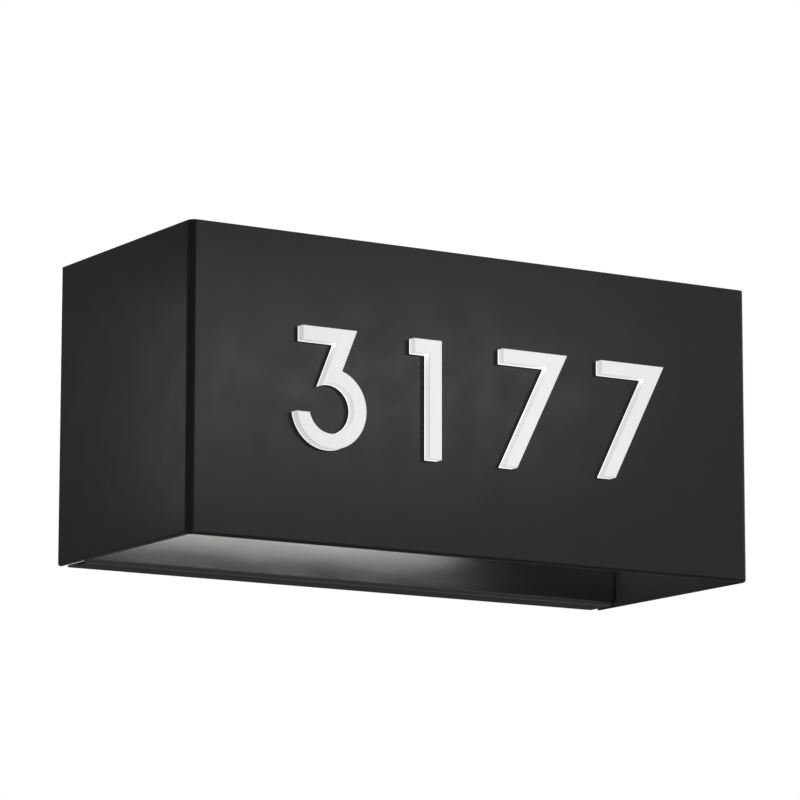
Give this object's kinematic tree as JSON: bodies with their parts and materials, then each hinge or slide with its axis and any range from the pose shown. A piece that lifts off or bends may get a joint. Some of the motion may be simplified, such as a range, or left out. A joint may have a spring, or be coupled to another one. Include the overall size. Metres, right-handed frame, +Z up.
{
  "type": "illuminated house number sign",
  "caption": "Box-shaped outdoor wall light, open at the bottom, with raised white house numerals on its front lit from behind by a screw-in lamp.",
  "frame": {"origin": "middle of the wall outlet box: the centre of the mounting strap's two slots, on the wall plane", "axes": "+X along the sign's width, +Y into the wall, +Z up; the numerals face -Y"},
  "size_m": [0.43, 0.1835, 0.2028],
  "materials": {
    "hood_coat": "fine satin black powder coat",
    "pan_coat": "fine satin black powder coat",
    "opal_acrylic": "opal white acrylic, satin face",
    "zinc_steel": "bright zinc plate",
    "black_steel": "black oxide",
    "green_steel": "green passivated earth screw",
    "brass": "plain brass",
    "porcelain": "white glazed porcelain",
    "rubber": "black moulded rubber",
    "black_insulation": "black wire insulation",
    "white_insulation": "white wire insulation",
    "green_insulation": "green wire insulation",
    "connector_shell": "orange moulded plastic",
    "bulb_plastic": "white moulded plastic",
    "bulb_diffuser": "frosted opal diffuser",
    "cap_nickel": "nickel-plated screw cap",
    "black_glass": "black cap insulator",
    "board": "white-masked metal board"
  },
  "bodies": {
    "wall_unit": {"back_pan": "pan_coat", "clinch_nuts": "zinc_steel", "hood_screws": "black_steel", "mounting_strap": "zinc_steel", "fixture_studs": "zinc_steel", "strap_lock_nuts": "zinc_steel", "sealing_washers": "rubber", "cap_nuts": "black_steel", "strap_ground_screw": "green_steel", "ground_stud": "zinc_steel", "ground_nut": "zinc_steel", "ring_terminals": "zinc_steel", "ground_lead": "green_insulation", "lamp_bracket": "pan_coat", "bracket_rivets": "black_steel", "holder_body": "porcelain", "holder_shell": "brass", "holder_contact": "brass", "holder_screws": "zinc_steel", "pan_grommet": "rubber", "wire_connectors": "connector_shell", "lead_black": "black_insulation", "lead_white": "white_insulation"},
    "hood": {"hood_wrap": "hood_coat", "hood_top": "hood_coat", "top_weld_beads": "hood_coat", "numeral_three": "opal_acrylic", "numeral_one": "opal_acrylic", "numeral_seven_left": "opal_acrylic", "numeral_seven_right": "opal_acrylic", "numeral_backer": "opal_acrylic", "backer_studs": "zinc_steel", "backer_washers": "zinc_steel", "backer_nuts": "zinc_steel"},
    "bulb_contact": {"bulb_insulator": "black_glass", "bulb_tip": "brass"},
    "bulb": {"bulb_cap": "cap_nickel", "bulb_collar": "bulb_plastic", "bulb_globe": "bulb_diffuser", "bulb_led_plate": "board"}
  },
  "joints": [
    {"name": "hood_slide", "type": "slide", "parent": "wall_unit", "child": "hood", "axis": [0, -1, 0], "range_m": [0, 0.03]},
    {"name": "bulb_travel", "type": "slide", "parent": "wall_unit", "child": "bulb_contact", "axis": [0, 0, -1], "range_m": [0, 0.01271]},
    {"name": "bulb_turn", "type": "hinge", "parent": "bulb_contact", "child": "bulb", "pos_m": [0, -0.095, 0], "axis": [0, 0, -1], "range_deg": [0, 1260]}
  ],
  "couplings": [
    {"joint": "bulb_travel", "follows": "bulb_turn", "m_per_rad": 0.00057751}
  ]
}
